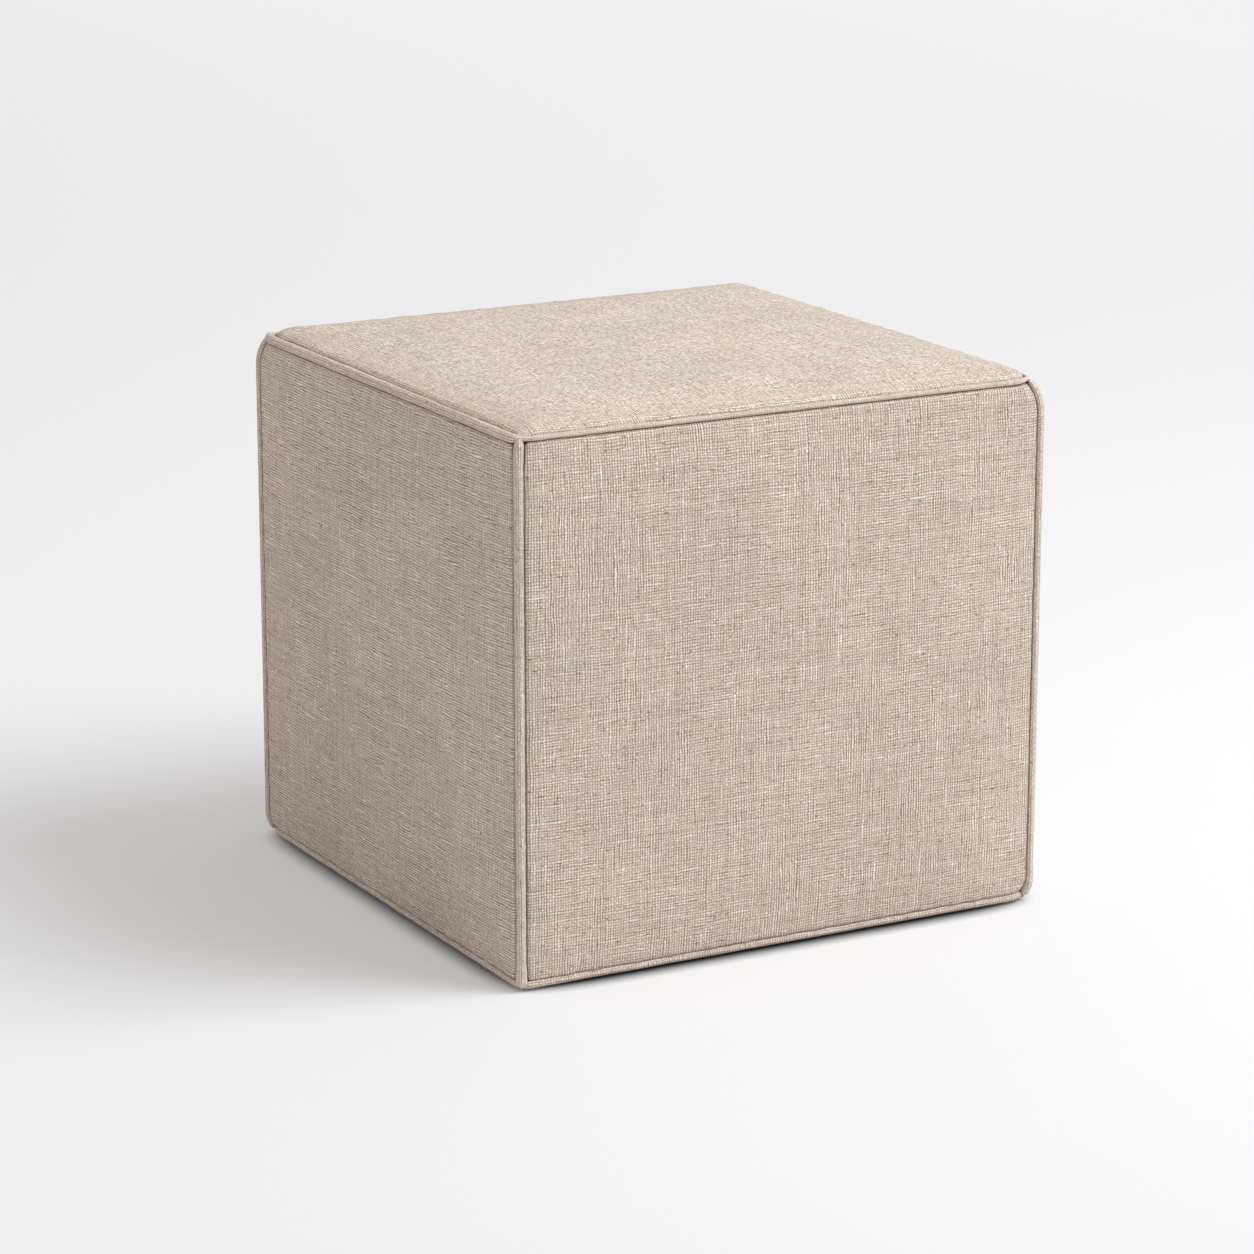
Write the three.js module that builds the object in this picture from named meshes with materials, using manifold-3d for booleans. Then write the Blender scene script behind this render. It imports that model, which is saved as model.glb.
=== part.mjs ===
// A square pouf: one filled cloth cube with crowned panels, and a piping cord sewn along every edge.
// Millimetres, +Z up. The origin is the middle of the flat base, and the front faces -Y.
import * as THREE from "three";
import { mergeVertices } from "three/addons/utils/BufferGeometryUtils.js";
import Module from "manifold-3d";

const wasm = await Module();
wasm.setup();

// Driving dimensions
const WIDTH = 450;               // over the pipings, left to right and front to back
const TOP_PIPING_Z = 409;        // height of the top piping's centre line
const PIPING_RADIUS = 4;
const BASE_PIPING_LIFT = 3;      // air under the base piping
const SEAM_SETBACK = 3.4;        // from a piping's centre line in to the seam that holds it, each way
const MESH_GAP = 0.3;            // between two pieces that lie against each other

// How the filled cloth leaves its seams
const PANEL_LIFT = 7;            // rise of a panel beside its seams
const PANEL_ROLL = 12;           // width of that rise
const BASE_ROLL = 14;
const TOP_CROWN = 9;             // further rise of the top panel towards its middle
const SIDE_CROWN = 3.5;
const CROWN_POWER = 12;          // how flat the crown is: 2 is a dome, more is flatter

// How seams and pipings round a corner of the cube
const CORNER_REACH = 24;         // length of an edge that a corner bends
const SEAM_PULL = 4.3;           // how far a corner of the seams is drawn in, along each axis
const RING_PULL = 5;             // how far a level piping is drawn in at a corner, along X and Y
const RING_DIP = 3;              // how far it bends there towards the middle height
const UPRIGHT_PULL = 2.5;        // how far an upright piping's ends lean in, along each axis
const UPRIGHT_HEAD_DROP = 3;     // from the top piping's centre line down to an upright's last full section

// Fineness of the facets
const PIPING_SIDES = 10;
const ROLL_STEPS = 4;
const PANEL_STEPS = 6;
const PANEL_SPREAD = 1.8;        // how fast the steps widen from a roll to the middle of a panel
const CORNER_STEPS = [2, 4.5, 8, 12, 17, CORNER_REACH];
const END_STEPS = [30, 60];      // degrees round an upright's domed end
const SAME_POINT = 0.001;        // points nearer than this are one

// Worked out from the dimensions above
const PIPING_HALF = WIDTH / 2 - PIPING_RADIUS;
const BASE_PIPING_Z = BASE_PIPING_LIFT + PIPING_RADIUS;
const SEAM_HALF = PIPING_HALF - SEAM_SETBACK;
const SEAM_TOP = TOP_PIPING_Z - SEAM_SETBACK;
const SEAM_BASE = BASE_PIPING_Z + SEAM_SETBACK;
const SEAM_MIDDLE = (SEAM_TOP + SEAM_BASE) / 2;
const HALF = [SEAM_HALF, SEAM_HALF, (SEAM_TOP - SEAM_BASE) / 2];
const UPRIGHT_TOP = TOP_PIPING_Z - UPRIGHT_HEAD_DROP;

// The part of a corner's pull that is felt at this distance from it.
function cornerPull(distance) {
  const left = Math.max(0, 1 - distance / CORNER_REACH);
  return left * left;
}

// A quarter ellipse from 0 at a seam to 1 where the roll ends.
function roll(distance, width) {
  const left = Math.max(0, 1 - distance / width);
  return Math.sqrt(1 - left * left);
}

// 1 at the middle of a panel, 0 at its edge.
function flatness(place, half) {
  return 1 - Math.abs(place / half) ** CROWN_POWER;
}

// Places across a panel from seam to seam: close together on the rolls, wide apart in the middle.
function panelPlaces(half) {
  const fromSeam = [];
  for (let i = 0; i < ROLL_STEPS; i++) {
    fromSeam.push(PANEL_ROLL * (1 - Math.cos((i / ROLL_STEPS) * (Math.PI / 2))));
  }
  for (let i = 0; i < PANEL_STEPS; i++) {
    fromSeam.push(PANEL_ROLL + (half - PANEL_ROLL) * (i / PANEL_STEPS) ** PANEL_SPREAD);
  }
  const left = fromSeam.map((distance) => distance - half);
  return [...left, 0, ...left.map((place) => -place).reverse()];
}

// The six panels: the axis each one faces, which way, and the shape of its rise.
const PANELS = [
  { axis: 0, facing: 1, lift: PANEL_LIFT, width: PANEL_ROLL, crown: SIDE_CROWN },
  { axis: 0, facing: -1, lift: PANEL_LIFT, width: PANEL_ROLL, crown: SIDE_CROWN },
  { axis: 1, facing: 1, lift: PANEL_LIFT, width: PANEL_ROLL, crown: SIDE_CROWN },
  { axis: 1, facing: -1, lift: PANEL_LIFT, width: PANEL_ROLL, crown: SIDE_CROWN },
  { axis: 2, facing: 1, lift: PANEL_LIFT, width: PANEL_ROLL, crown: TOP_CROWN },
  { axis: 2, facing: -1, lift: SEAM_BASE, width: BASE_ROLL, crown: 0 },
];

// A point of a panel: out from the box of the seams, then in towards the middle near a corner.
function panelPoint(panel, along, across, u, v) {
  const edge = [0, 0, 0];
  edge[along] = HALF[along] - Math.abs(u);
  edge[across] = HALF[across] - Math.abs(v);
  const rise = panel.lift * roll(edge[along], panel.width) * roll(edge[across], panel.width)
    + panel.crown * flatness(u, HALF[along]) * flatness(v, HALF[across]);
  const pull = SEAM_PULL * cornerPull(edge[along]) * cornerPull(edge[across]);
  const point = [0, 0, 0];
  point[panel.axis] = panel.facing * (HALF[panel.axis] + rise - pull);
  point[along] = u - Math.sign(u) * pull;
  point[across] = v - Math.sign(v) * pull;
  point[2] += SEAM_MIDDLE;
  return point;
}

// The filled cube, as six grids that share their edges.
function cushionGeometry() {
  const positions = [];
  const index = [];
  for (const panel of PANELS) {
    const along = (panel.axis + 1) % 3;
    const across = (panel.axis + 2) % 3;
    const uPlaces = panelPlaces(HALF[along]);
    const vPlaces = panelPlaces(HALF[across]);
    const first = positions.length / 3;
    for (const u of uPlaces) {
      for (const v of vPlaces) positions.push(...panelPoint(panel, along, across, u, v));
    }
    for (let i = 0; i < uPlaces.length - 1; i++) {
      for (let j = 0; j < vPlaces.length - 1; j++) {
        const a = first + i * vPlaces.length + j;
        const b = a + vPlaces.length;
        const square = panel.facing > 0 ? [a, b, b + 1, a, b + 1, a + 1] : [a, b + 1, b, a, a + 1, b + 1];
        index.push(...square);
      }
    }
  }
  const geometry = new THREE.BufferGeometry();
  geometry.setAttribute("position", new THREE.Float32BufferAttribute(positions, 3));
  geometry.setIndex(index);
  return mergeVertices(geometry, SAME_POINT);
}

// A round cord through sections given by centre and radius. A closed cord joins its last to its first,
// and an open one ends in a point at each end. The pole is a direction that the cord never runs along.
function cordGeometry(sections, pole, closed) {
  const count = sections.length;
  const positions = [];
  const index = [];
  sections.forEach(({ centre, radius }, i) => {
    const before = sections[closed ? (i + count - 1) % count : Math.max(i - 1, 0)].centre;
    const after = sections[closed ? (i + 1) % count : Math.min(i + 1, count - 1)].centre;
    const tangent = after.clone().sub(before).normalize();
    const side = pole.clone().cross(tangent).normalize();
    const lift = tangent.clone().cross(side);
    for (let k = 0; k < PIPING_SIDES; k++) {
      const angle = (k / PIPING_SIDES) * 2 * Math.PI;
      const point = centre.clone();
      point.addScaledVector(side, radius * Math.cos(angle));
      point.addScaledVector(lift, radius * Math.sin(angle));
      positions.push(point.x, point.y, point.z);
    }
  });
  for (let i = 0; i < (closed ? count : count - 1); i++) {
    for (let k = 0; k < PIPING_SIDES; k++) {
      const next = (k + 1) % PIPING_SIDES;
      const low = i * PIPING_SIDES;
      const high = ((i + 1) % count) * PIPING_SIDES;
      index.push(low + k, low + next, high + next, low + k, high + next, high + k);
    }
  }
  const geometry = new THREE.BufferGeometry();
  geometry.setAttribute("position", new THREE.Float32BufferAttribute(positions, 3));
  geometry.setIndex(index);
  return mergeVertices(geometry, SAME_POINT);
}

// The four corners seen from above, anticlockwise.
const CORNERS = [
  { name: "back_right", x: 1, y: 1 },
  { name: "back_left", x: -1, y: 1 },
  { name: "front_left", x: -1, y: -1 },
  { name: "front_right", x: 1, y: -1 },
];

// A level piping round the cube at height z. At a corner it is drawn in and bends by dip.
function ringGeometry(z, dip) {
  const before = CORNER_STEPS.map((distance) => -distance).reverse();
  const places = [...before, 0, ...CORNER_STEPS];
  const sections = [];
  CORNERS.forEach((corner, i) => {
    for (const place of places) {
      const distance = Math.abs(place);
      const half = PIPING_HALF - RING_PULL * cornerPull(distance);
      const alongX = place < 0 ? i % 2 === 1 : i % 2 === 0;
      const x = corner.x * (half - (alongX ? distance : 0));
      const y = corner.y * (half - (alongX ? 0 : distance));
      const bend = dip * (1 - (distance / CORNER_REACH) ** 2) ** 2;
      sections.push({ centre: new THREE.Vector3(x, y, z + bend), radius: PIPING_RADIUS });
    }
  });
  return cordGeometry(sections, new THREE.Vector3(0, 0, 1), true);
}

// An upright piping in one corner: domed ends that lean in under the level pipings.
// The growth makes the same cord a little fatter, as the space that it needs.
function uprightGeometry(corner, growth) {
  const radius = PIPING_RADIUS + growth;
  const middle = (UPRIGHT_TOP + BASE_PIPING_Z) / 2;
  const half = (UPRIGHT_TOP - BASE_PIPING_Z) / 2;
  const upper = [];
  for (const distance of [...CORNER_STEPS].reverse()) upper.push({ height: half - distance, radius });
  upper.push({ height: half, radius });
  for (const degrees of END_STEPS) {
    const angle = THREE.MathUtils.degToRad(degrees);
    upper.push({ height: half + radius * Math.sin(angle), radius: radius * Math.cos(angle) });
  }
  upper.push({ height: half + radius, radius: 0 });
  const lower = upper.map((section) => ({ height: -section.height, radius: section.radius })).reverse();
  const sections = [...lower, ...upper].map((section) => {
    const fromEnd = Math.max(0, half - Math.abs(section.height));
    const out = PIPING_HALF - UPRIGHT_PULL * cornerPull(fromEnd);
    const centre = new THREE.Vector3(corner.x * out, corner.y * out, middle + section.height);
    return { centre, radius: section.radius };
  });
  return cordGeometry(sections, new THREE.Vector3(1, 0, 0), false);
}

// A closed geometry as a solid that can be cut, and back.
function solidOf(geometry) {
  const vertProperties = geometry.attributes.position.array;
  const triVerts = new Uint32Array(geometry.index.array);
  return new wasm.Manifold(new wasm.Mesh({ numProp: 3, vertProperties, triVerts }));
}

function geometryOf(solid) {
  const { vertProperties, triVerts } = solid.getMesh();
  const geometry = new THREE.BufferGeometry();
  geometry.setAttribute("position", new THREE.Float32BufferAttribute(vertProperties, 3));
  geometry.setIndex([...triVerts]);
  return geometry;
}

// A level piping with a notch at each corner, where an upright's end laps over it.
function notchedRing(z, dip) {
  let ring = solidOf(ringGeometry(z, dip));
  for (const corner of CORNERS) {
    ring = ring.subtract(solidOf(uprightGeometry(corner, MESH_GAP)));
  }
  return geometryOf(ring);
}

function piece(name, geometry, color) {
  geometry.computeVertexNormals();
  const material = new THREE.MeshStandardMaterial({ color, roughness: 0.95, metalness: 0 });
  const mesh = new THREE.Mesh(geometry, material);
  mesh.name = name;
  return mesh;
}

const COVER_COLOR = 0xc8baa9;
const PIPING_COLOR = 0xd0c3b3;

const pouf = new THREE.Group();
pouf.add(piece("cushion", cushionGeometry(), COVER_COLOR));
pouf.add(piece("piping_top", notchedRing(TOP_PIPING_Z, -RING_DIP), PIPING_COLOR));
pouf.add(piece("piping_base", notchedRing(BASE_PIPING_Z, RING_DIP), PIPING_COLOR));
for (const corner of CORNERS) {
  pouf.add(piece(`piping_${corner.name}`, uprightGeometry(corner, 0), PIPING_COLOR));
}

export default pouf;
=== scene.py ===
"""A cube pouf in linen-look cloth with piping on every edge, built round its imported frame.

Lengths are in metres, +Z is up, the front faces -Y, and the pouf stands on the floor at z = 0.
"""
import math

import bmesh
import bpy
import numpy as np
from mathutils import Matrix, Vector


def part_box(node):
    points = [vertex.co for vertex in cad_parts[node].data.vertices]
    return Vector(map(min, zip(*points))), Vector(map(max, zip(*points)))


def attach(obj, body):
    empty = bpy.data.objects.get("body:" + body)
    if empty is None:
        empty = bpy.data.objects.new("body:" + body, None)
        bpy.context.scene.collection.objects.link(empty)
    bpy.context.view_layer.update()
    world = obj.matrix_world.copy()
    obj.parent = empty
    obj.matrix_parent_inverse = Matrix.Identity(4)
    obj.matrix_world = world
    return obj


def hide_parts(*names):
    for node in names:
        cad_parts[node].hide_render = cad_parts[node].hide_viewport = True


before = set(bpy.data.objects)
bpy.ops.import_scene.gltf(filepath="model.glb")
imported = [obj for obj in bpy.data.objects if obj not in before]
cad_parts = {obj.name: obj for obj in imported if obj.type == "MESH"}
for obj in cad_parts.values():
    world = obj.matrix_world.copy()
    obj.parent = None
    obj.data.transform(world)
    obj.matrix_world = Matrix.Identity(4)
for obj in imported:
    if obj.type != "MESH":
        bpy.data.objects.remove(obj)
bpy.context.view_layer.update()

bl_info = {
    "name": "Cube pouf",
    "version": (1, 0, 0),
    "blender": (4, 5, 0),
    "location": "3D View > Sidebar > Pouf",
    "description": "Builds a piped cube pouf in linen-look cloth",
    "category": "Add Mesh",
}

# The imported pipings' radius, how far an upright one's last full section lies below the top one's
# centre line, and how far the pouf's weight presses the base one down.
FRAME_PIPING_RADIUS = 0.004
UPRIGHT_HEAD_DROP = 0.003
BASE_SETTLING = 0.002

# Read from the frame: the box of the whole pouf, and where its pipings run.
PIPING_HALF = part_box("piping_top")[1].x - FRAME_PIPING_RADIUS
BASE_PIPING_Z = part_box("piping_front_left")[0].z + FRAME_PIPING_RADIUS
TOP_PIPING_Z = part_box("piping_front_left")[1].z - FRAME_PIPING_RADIUS + UPRIGHT_HEAD_DROP

PIPING_NODES = ("piping_front_left", "piping_front_right", "piping_back_left", "piping_back_right")


# ------------ settings

class PoufShape(bpy.types.PropertyGroup):
    """Sizes of the cushion and its pipings."""

    piping_radius: bpy.props.FloatProperty(
        name="Piping radius", description="Half the thickness of the piping as it lies",
        default=0.0037, unit="LENGTH")
    piping_half: bpy.props.FloatProperty(
        name="Piping half width", description="From the middle of the pouf to a piping's centre line",
        default=PIPING_HALF, unit="LENGTH")
    top_piping_height: bpy.props.FloatProperty(
        name="Top piping height", description="Height of the top piping's centre line",
        default=TOP_PIPING_Z, unit="LENGTH")
    base_piping_height: bpy.props.FloatProperty(
        name="Base piping height", description="Height of the base piping's centre line",
        default=BASE_PIPING_Z - BASE_SETTLING, unit="LENGTH")
    seam_setback: bpy.props.FloatProperty(
        name="Seam setback", description="From a piping's centre line in to its seam",
        default=0.0036, unit="LENGTH")
    top_setback: bpy.props.FloatProperty(
        name="Top setback", description="From the top piping's centre line down to its seam",
        default=0.0012, unit="LENGTH")
    base_setback: bpy.props.FloatProperty(
        name="Base setback", description="From the base piping's centre line up to its seam",
        default=0.0012, unit="LENGTH")
    side_lift: bpy.props.FloatProperty(
        name="Side lift", description="How far a side panel rolls out of its seams",
        default=0.0058, unit="LENGTH")
    top_lift: bpy.props.FloatProperty(
        name="Top lift", description="How far the top panel rolls out of its seams",
        default=0.0091, unit="LENGTH")
    side_roll: bpy.props.FloatProperty(
        name="Side roll", description="Width of the roll round a side panel",
        default=0.0045, unit="LENGTH")
    base_roll: bpy.props.FloatProperty(
        name="Base roll", description="Width of the roll round the flat base",
        default=0.014, unit="LENGTH")
    top_roll: bpy.props.FloatProperty(
        name="Top roll", description="Width of the roll round the top panel",
        default=0.020, unit="LENGTH")
    side_crown: bpy.props.FloatProperty(
        name="Side crown", description="Further rise of a side panel before it is filled",
        default=0.0025, unit="LENGTH")
    crown_power: bpy.props.FloatProperty(
        name="Crown power", description="How flat the crown is: 2 is a dome, more is flatter",
        default=8.0)
    head_reach: bpy.props.FloatProperty(
        name="Head reach", description="Length at the top of an upright seam that leans in to its corner",
        default=0.023, unit="LENGTH")
    foot_reach: bpy.props.FloatProperty(
        name="Foot reach", description="Length at the foot of an upright seam that leans in",
        default=0.015, unit="LENGTH")
    top_corners: bpy.props.FloatVectorProperty(
        name="Top corners", description="Radius of the top piping's corners: back right, back left, "
        "front left, front right", default=(0.034, 0.027, 0.012, 0.027), size=4, unit="LENGTH")
    base_corners: bpy.props.FloatVectorProperty(
        name="Base corners", description="Radius of the base piping's corners, in the same order",
        default=(0.016, 0.020, 0.009, 0.020), size=4, unit="LENGTH")
    top_slimming: bpy.props.FloatVectorProperty(
        name="Top slimming", description="Share of the top piping that the panels roll over: front and "
        "back, right, left", default=(0.45, 0.6, 0.0), size=3)
    base_slimming: bpy.props.FloatVectorProperty(
        name="Base slimming", description="Share of the base piping that the panels roll over, in the "
        "same order", default=(0.2, 0.25, 0.25), size=3)
    top_swell: bpy.props.FloatProperty(
        name="Top swell", description="The furthest that filling moves the top panel",
        default=0.004, unit="LENGTH")
    side_swell: bpy.props.FloatProperty(
        name="Side swell", description="The furthest that filling moves a side panel",
        default=0.0025, unit="LENGTH")
    corner_tuck: bpy.props.FloatProperty(
        name="Corner tuck", description="Share by which a level piping thins behind an upright one",
        default=0.1, subtype="FACTOR")
    thinned_hug: bpy.props.FloatProperty(
        name="Thinned piping hug", description="How far a thinned level piping is drawn in, as a share "
        "of the radius it lost", default=0.6)
    upright_sink: bpy.props.FloatVectorProperty(
        name="Upright sink", description="How far the upright pipings lie inside the level ones, at "
        "the back right, back left, front left and front right corner",
        default=(0.0018, 0.0006, 0.0018, 0.0014), size=4, unit="LENGTH")
    head_proud: bpy.props.FloatProperty(
        name="Head proud", description="How far a head stands out from the top piping along each axis",
        default=0.0006, unit="LENGTH")
    foot_proud: bpy.props.FloatProperty(
        name="Foot proud", description="How far a foot stands out from the base piping along each axis",
        default=0.0018, unit="LENGTH")
    end_length: bpy.props.FloatProperty(
        name="End length", description="Length over which an upright piping's end rounds off",
        default=0.007, unit="LENGTH")
    foot_flare: bpy.props.FloatProperty(
        name="Foot flare", description="How much thicker an upright piping's foot is",
        default=0.16, subtype="FACTOR")
    panel_corner: bpy.props.FloatProperty(
        name="Panel corner", description="Radius of a panel's corners",
        default=0.005, unit="LENGTH")
    cells: bpy.props.IntProperty(
        name="Cells", description="Squares across each panel, an even number",
        default=124, min=8)
    held_rim: bpy.props.FloatProperty(
        name="Held rim", description="Width beside a seam that filling doesn't move",
        default=0.007, unit="LENGTH")
    pressure: bpy.props.FloatProperty(
        name="Pressure", description="Air pressure that fills the cover",
        default=4.0)
    pucker_depth: bpy.props.FloatProperty(
        name="Pucker depth", description="Depth of the small gathers beside the seams",
        default=0.0004, unit="LENGTH")


class PoufCloth(bpy.types.PropertyGroup):
    """The weave and its yarns."""

    pitch: bpy.props.FloatProperty(
        name="Thread pitch", description="From one thread to the next",
        default=0.00215, unit="LENGTH")
    # Reach of the painted crease shade: how near other surfaces must be for ambient occlusion to darken the
    # cloth's colour.
    crease_shade_reach: bpy.props.FloatProperty(
        name="Crease reach", description="How close together surfaces shut each other in",
        default=0.005, unit="LENGTH")
    yarn_light: bpy.props.FloatVectorProperty(
        name="Light yarn", description="Colour on top of the thickest threads",
        default=(0.98, 0.94, 0.87), size=3, subtype="COLOR")
    yarn_middle: bpy.props.FloatVectorProperty(
        name="Middle yarn", description="Colour of most of the cloth",
        default=(0.66, 0.56, 0.46), size=3, subtype="COLOR")
    yarn_dark: bpy.props.FloatVectorProperty(
        name="Gap", description="Colour in the gaps between threads",
        default=(0.275, 0.148, 0.074), size=3, subtype="COLOR")


class PoufStage(bpy.types.PropertyGroup):
    """The floor, the lamps and the camera."""

    floor_color: bpy.props.FloatVectorProperty(
        name="Floor colour", description="Colour of the floor",
        default=(0.748, 0.752, 0.767), size=3, subtype="COLOR")
    # The floor's glow, seen only directly and in reflections: its gain where the pouf stands, and its
    # slope, which paints a gradient of light across the floor.
    floor_gain: bpy.props.FloatProperty(
        name="Floor gain", description="Paleness that the floor gains where the pouf stands",
        default=0.180)
    painted_light_slope: bpy.props.FloatVectorProperty(
        name="Floor slope", description="How the floor's paleness changes for each metre",
        default=(0.030, -0.001, 0.0), size=3, subtype="XYZ")
    # The painted contact shadow on the floor: full out to the contact start, then fading out over the
    # contact reach.
    contact_start: bpy.props.FloatProperty(
        name="Contact start", description="From the middle of the pouf to where the floor starts to pale",
        default=0.217, unit="LENGTH")
    contact_reach: bpy.props.FloatProperty(
        name="Contact reach", description="Width over which the floor pales",
        default=0.024, unit="LENGTH")
    key_strength: bpy.props.FloatProperty(
        name="Key strength", description="Strength of the far half of the soft light", default=1.18)
    near_strength: bpy.props.FloatProperty(
        name="Near strength", description="Power of the near half of the soft light",
        default=14.0, unit="POWER")
    near_distance: bpy.props.FloatProperty(
        name="Near distance", description="From the pouf's middle to the near lamp", default=2.2,
        unit="LENGTH")
    key_spread: bpy.props.FloatProperty(
        name="Key spread", description="How wide the soft lamp is, which softens the shadow",
        default=math.radians(36), subtype="ANGLE")
    key_azimuth: bpy.props.FloatProperty(
        name="Key azimuth", description="Angle of the lamp round the pouf, 0 is in front of it",
        default=math.radians(54.4), subtype="ANGLE")
    key_elevation: bpy.props.FloatProperty(
        name="Key elevation", description="Angle of the lamp above the horizon",
        default=math.radians(47), subtype="ANGLE")
    key_color: bpy.props.FloatVectorProperty(
        name="Key colour", description="Colour of the wide soft lamp",
        default=(1.0, 1.02, 1.05), size=3, subtype="COLOR", soft_max=2)
    world_color: bpy.props.FloatVectorProperty(
        name="World colour", description="Colour of the even light from all round",
        default=(1.0, 0.97, 0.94), size=3, subtype="COLOR")
    world_strength: bpy.props.FloatProperty(
        name="World strength", description="Strength of the even light from all round", default=0.55)
    lens: bpy.props.FloatProperty(
        name="Lens", description="Focal length of the camera", default=125.23, unit="CAMERA")
    azimuth: bpy.props.FloatProperty(
        name="Azimuth", description="Angle round the pouf, 0 looks at its front",
        default=math.radians(-28.71), subtype="ANGLE")
    elevation: bpy.props.FloatProperty(
        name="Elevation", description="Angle above the horizon",
        default=math.radians(14.83), subtype="ANGLE")
    distance: bpy.props.FloatProperty(
        name="Distance", description="From the aim point to the camera", default=3.3967, unit="LENGTH")


# ------------ meshes from arrays

def mesh_object(name, points, faces, uv, uv_faces, materials, which=None):
    """A smooth quad mesh from arrays of points and faces, with one UV for each corner of each face.

    which gives the number of each face's material.
    """
    mesh = bpy.data.meshes.new(name)
    mesh.vertices.add(len(points))
    mesh.vertices.foreach_set("co", np.ascontiguousarray(points, np.float32).ravel())
    mesh.loops.add(faces.size)
    mesh.loops.foreach_set("vertex_index", faces.astype(np.int32).ravel())
    mesh.polygons.add(len(faces))
    mesh.polygons.foreach_set("loop_start", np.arange(0, faces.size, 4, dtype=np.int32))
    mesh.polygons.foreach_set("use_smooth", np.ones(len(faces), bool))
    layer = mesh.uv_layers.new(name="cloth")
    layer.data.foreach_set("uv", uv[uv_faces.ravel()].astype(np.float32).ravel())
    mesh.update(calc_edges=True)
    mesh.validate()
    for material in materials:
        mesh.materials.append(material)
    if which is not None:
        mesh.polygons.foreach_set("material_index", which)
    thing = bpy.data.objects.new(name, mesh)
    bpy.context.scene.collection.objects.link(thing)
    return thing


def merge_doubles(thing):
    """Joins the points that lie in one place, which closes the poles of a cord's ends."""
    shell = bmesh.new()
    shell.from_mesh(thing.data)
    bmesh.ops.remove_doubles(shell, verts=shell.verts, dist=1e-6)
    shell.to_mesh(thing.data)
    shell.free()


def waves(along, count, shortest, longest, seed):
    """A sum of sines of random length and phase along an array of distances, about -1 to 1."""
    random = np.random.default_rng(seed)
    lengths = random.uniform(shortest, longest, count)
    phases = random.uniform(0, 2 * np.pi, count)
    total = sum(np.sin(2 * np.pi * along / length + phase) for length, phase in zip(lengths, phases))
    return total / math.sqrt(count)


# ------------ the cushion

# Each panel: its name, the axis that it faces, which way, and the axes along and across its cloth.
PANELS = (
    ("right", 0, 1, 1, 2),
    ("left", 0, -1, 1, 2),
    ("back", 1, 1, 0, 2),
    ("front", 1, -1, 0, 2),
    ("top", 2, 1, 0, 1),
    ("base", 2, -1, 0, 1),
)

# From the middle of one panel to the next on the cloth's map.
PANEL_SPACING = 0.5

# A corner of a rounded square lies this share of its radius inside the sharp corner, along each axis.
CORNER_INSET = 1 - math.sqrt(0.5)


def corner_values(values, x, y):
    """The value of the corner in whose quarter each point lies: back right, back left, front left,
    front right."""
    quarter = np.where(y > 0, np.where(x > 0, 0, 1), np.where(x > 0, 3, 2))
    return np.array([list(row) for row in np.atleast_2d(values)])[..., quarter].squeeze()


def seam_box(shape):
    """The middle and the half sizes of the box on which the seams lie."""
    half = shape.piping_half - shape.seam_setback
    top = shape.top_piping_height - shape.top_setback
    base = shape.base_piping_height + shape.base_setback
    return np.array([0, 0, (top + base) / 2]), np.array([half, half, (top - base) / 2])


# Share of the sine in the spacing of a panel's points: the more, the closer they lie at the seams.
SEAM_EASE = 0.86


def panel_places(cells, half):
    """Places across a panel. A straight ramp and a sine, mixed, so that they lie close at the seams."""
    t = np.linspace(-1, 1, cells + 1)
    return half * ((1 - SEAM_EASE) * t + SEAM_EASE * np.sin(t * np.pi / 2))


def roll(way):
    """A quarter circle, from 0 at a seam, where way is 0, to 1 where the roll ends, at way 1."""
    return np.sqrt(1 - np.clip(1 - way, 0, 1) ** 2)


# How much longer than its radius a corner's bend is along a seam.
CORNER_SPREAD = 1.15


def panel_points(shape, panel, places):
    """One panel as a grid of points.

    The top rises from the plane of its seams by its lift times a roll each way. A side or the base
    rises by its lift times one roll from the nearest seam, round at the corners, and a side also by a
    crown that is 1 less a high power of the place, both ways.
    Near a corner both level axes are drawn in by the product of two parabolas, which comes close to the
    arc of the seam there.
    """
    name, axis, facing, along, across = panel
    middle, half = seam_box(shape)
    u, v = np.meshgrid(places[along], places[across], indexing="ij")
    edge_u = half[along] - np.abs(u)
    edge_v = half[across] - np.abs(v)
    if name == "top":
        rise = shape.top_lift * roll(edge_u / shape.top_roll) * roll(edge_v / shape.top_roll)
    else:
        corner, width = shape.panel_corner, shape.base_roll if name == "base" else shape.side_roll
        inside = corner - np.hypot(np.maximum(corner - edge_u, 0), np.maximum(corner - edge_v, 0))
        nearest = np.maximum(np.where(inside < corner, inside, np.minimum(edge_u, edge_v)), 0)
        rise = roll(nearest / width) * (middle[2] - half[2] if name == "base" else shape.side_lift)
        flat = [1 - np.abs(w / half[way]) ** shape.crown_power for w, way in ((u, along), (v, across))]
        rise += flat[0] * flat[1] * (0 if name == "base" else shape.side_crown)
    points = np.zeros(u.shape + (3,))
    points[..., axis] = facing * (half[axis] + rise)
    points[..., along] = u
    points[..., across] = v
    upper = v > 0 if axis < 2 else name == "top"
    x, y = points[..., 0], points[..., 1]
    radius = np.where(upper, *corner_values([shape.top_corners, shape.base_corners], x, y))
    reach = CORNER_SPREAD * radius
    reach_v = np.where(upper, shape.head_reach, shape.foot_reach) if axis < 2 else reach
    near = np.clip(1 - edge_u / reach, 0, 1) ** 2 * np.clip(1 - edge_v / reach_v, 0, 1) ** 2
    inset = CORNER_INSET * (radius - shape.seam_setback) * near
    points[..., :2] -= np.sign(points[..., :2]) * inset[..., None]
    return points + middle


def cloth_places(points, along):
    """Distance along the cloth of a panel's middle line, from its own middle."""
    line = points[:, points.shape[1] // 2] if along == 0 else points[points.shape[0] // 2]
    steps = np.linalg.norm(np.diff(line, axis=0), axis=1)
    length = np.concatenate([[0], np.cumsum(steps)])
    return length - length[-1] / 2


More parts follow.
